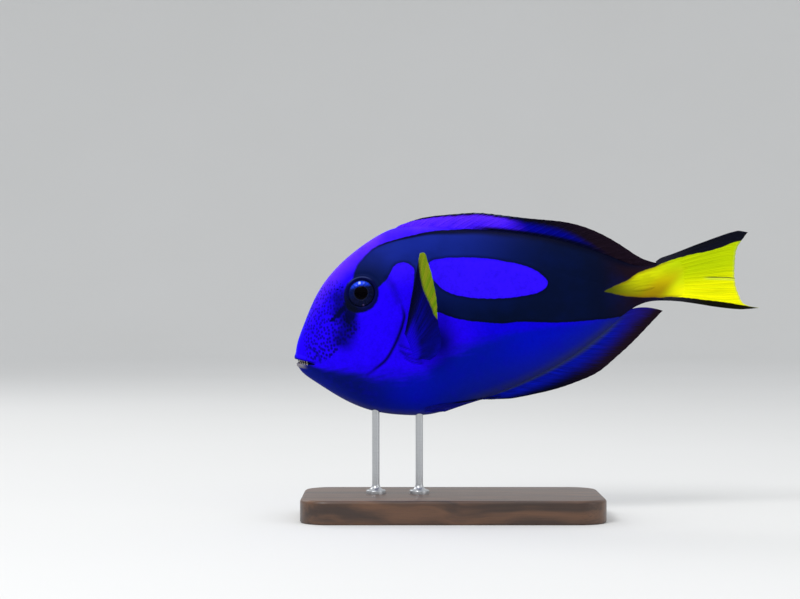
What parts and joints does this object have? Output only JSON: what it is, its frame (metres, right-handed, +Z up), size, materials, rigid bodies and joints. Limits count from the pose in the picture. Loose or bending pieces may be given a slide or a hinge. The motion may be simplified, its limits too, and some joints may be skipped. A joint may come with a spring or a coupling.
{
  "type": "regal blue tang model",
  "caption": "Life-size still model of a regal blue tang with folded dorsal fin and raised pectoral fins, held nose down by rods on a flat display base.",
  "frame": {"origin": "centre of the base's underside", "axes": "+X towards the fish's tail, -Y towards its left side, +Z up"},
  "size_m": [0.1985, 0.06, 0.13],
  "materials": {
    "skin": "painted cast resin, satin, royal blue with a black side mark",
    "fin_membrane": "satin blue with a dark margin",
    "tail_membrane": "satin yellow with dark edges",
    "pectoral_membrane": "satin blue with a yellow tip",
    "eye": "polished black glass eye",
    "stand_wood": "dark satin wood",
    "stand_steel": "brushed"
  },
  "bodies": {
    "root": {"head": "skin", "torso": "skin", "tail": "skin", "tail_fin": "tail_membrane", "dorsal_fin": "fin_membrane", "anal_fin": "fin_membrane", "pectoral_fin_left": "pectoral_membrane", "pectoral_fin_right": "pectoral_membrane", "pelvic_fin_left": "fin_membrane", "pelvic_fin_right": "fin_membrane", "eye_left": "eye", "eye_right": "eye", "stand_base": "stand_wood", "stand_rod_front": "stand_steel", "stand_rod_rear": "stand_steel"}
  },
  "joints": []
}
